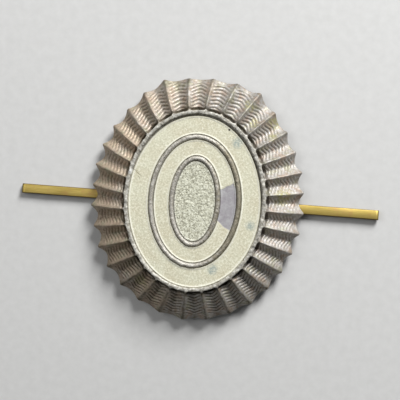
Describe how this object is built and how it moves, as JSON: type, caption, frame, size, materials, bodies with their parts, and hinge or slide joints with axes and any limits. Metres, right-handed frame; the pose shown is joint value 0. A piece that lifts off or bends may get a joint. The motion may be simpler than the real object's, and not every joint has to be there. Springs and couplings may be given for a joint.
{
  "type": "cap badge",
  "caption": "Oval cap badge: fluted metal rim of pointed rays around an enamelled oval medallion, with two bend-over prongs folded flat behind.",
  "frame": {"origin": "under the middle of the badge, in the plane of the folded prongs' undersides", "axes": "+X to the badge's right along the prongs, +Y to its top along its long height, +Z out of its front"},
  "size_m": [0.0568, 0.038, 0.0048],
  "materials": {
    "oxidised_silver": "worn silver plate over brass, darkened in the grooves",
    "ridge_metal": "dull silver plate over brass, lightly pitted",
    "cream_enamel": "satin, fine grain",
    "stippled_enamel": "matte, coarse stipple",
    "brass_strip": "brushed lengthwise",
    "solder": "dull cast solder"
  },
  "bodies": {
    "badge": {"rim_shell": "oxidised_silver", "medallion": "ridge_metal", "outer_enamel": "cream_enamel", "middle_enamel": "cream_enamel", "centre_enamel": "stippled_enamel", "prong_staple": "brass_strip", "left_solder": "solder", "right_solder": "solder"},
    "left_prong": {"left_prong": "brass_strip"},
    "right_prong": {"right_prong": "brass_strip"}
  },
  "joints": [
    {"name": "left_prong_bend", "type": "hinge", "parent": "badge", "child": "left_prong", "pos_m": [-0.004, 0, 0.0003], "axis": [0, -1, 0], "range_deg": [0, 90]},
    {"name": "right_prong_bend", "type": "hinge", "parent": "badge", "child": "right_prong", "pos_m": [0.004, 0, 0.0003], "axis": [0, 1, 0], "range_deg": [0, 90]}
  ]
}
